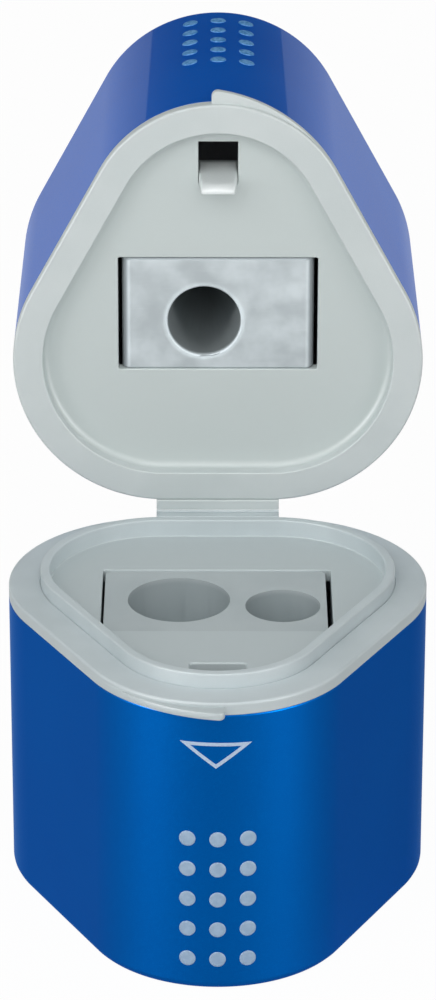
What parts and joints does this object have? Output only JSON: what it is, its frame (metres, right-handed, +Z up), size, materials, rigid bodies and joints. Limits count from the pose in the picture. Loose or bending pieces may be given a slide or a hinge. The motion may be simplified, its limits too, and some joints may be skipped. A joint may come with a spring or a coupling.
{
  "type": "pencil sharpener",
  "caption": "Hinged rounded-triangle sharpening box: twin sharpener in the lower half, metal colour-pencil sharpener in the fold-back upper half, both over shavings chambers.",
  "frame": {"origin": "centre of the flat base face of the lower shell, midway between the back face and the front corner", "axes": "+Z up out of the lower half, -Y towards the front corner with the thumb lips, +X to the right; the hinge line runs along X behind the back face"},
  "size_m": [0.046, 0.0852, 0.0845],
  "materials": {
    "shell_blue": "satin",
    "shell_blue_upper": "gloss",
    "dot_grey": "matte",
    "carrier_grey": "satin",
    "carrier_grey_upper": "satin",
    "block_grey": "matte",
    "cast_metal": "satin",
    "blade_steel": "polished",
    "screw_steel": "satin"
  },
  "bodies": {
    "lower_case": {"lower_shell": "shell_blue", "lower_grip_dots": "dot_grey"},
    "lower_insert": {"lower_carrier": "carrier_grey", "lower_hinge_leaf": "carrier_grey", "hinge_film": "carrier_grey", "twin_sharpener_block": "block_grey", "jumbo_blade": "blade_steel", "jumbo_blade_screw": "screw_steel", "standard_blade": "blade_steel", "standard_blade_screw": "screw_steel"},
    "upper_insert": {"upper_hinge_leaf": "carrier_grey_upper", "upper_carrier": "carrier_grey_upper", "metal_sharpener_body": "cast_metal", "colour_blade": "blade_steel", "colour_blade_screw": "screw_steel"},
    "upper_case": {"upper_shell": "shell_blue_upper", "upper_grip_dots": "dot_grey"},
    "latch": {"latch_tongue": "carrier_grey_upper"}
  },
  "joints": [
    {"name": "lower_shell_pull", "type": "slide", "parent": "lower_case", "child": "lower_insert", "axis": [0, 0, 1], "range_m": [0, 0.03]},
    {"name": "lid_hinge", "type": "hinge", "parent": "lower_insert", "child": "upper_insert", "pos_m": [0, 0.025, 0.0344], "axis": [-1, 0, 0], "range_deg": [-90.5, 80]},
    {"name": "upper_shell_pull", "type": "slide", "parent": "upper_insert", "child": "upper_case", "axis": [0, 1, -0.0087], "range_m": [0, 0.03]},
    {"name": "latch_flex", "type": "hinge", "parent": "upper_insert", "child": "latch", "pos_m": [0, 0.03095, 0.07387], "axis": [1, 0, 0], "range_deg": [0, 3], "stiffness_Nm_per_rad": 0.02}
  ]
}
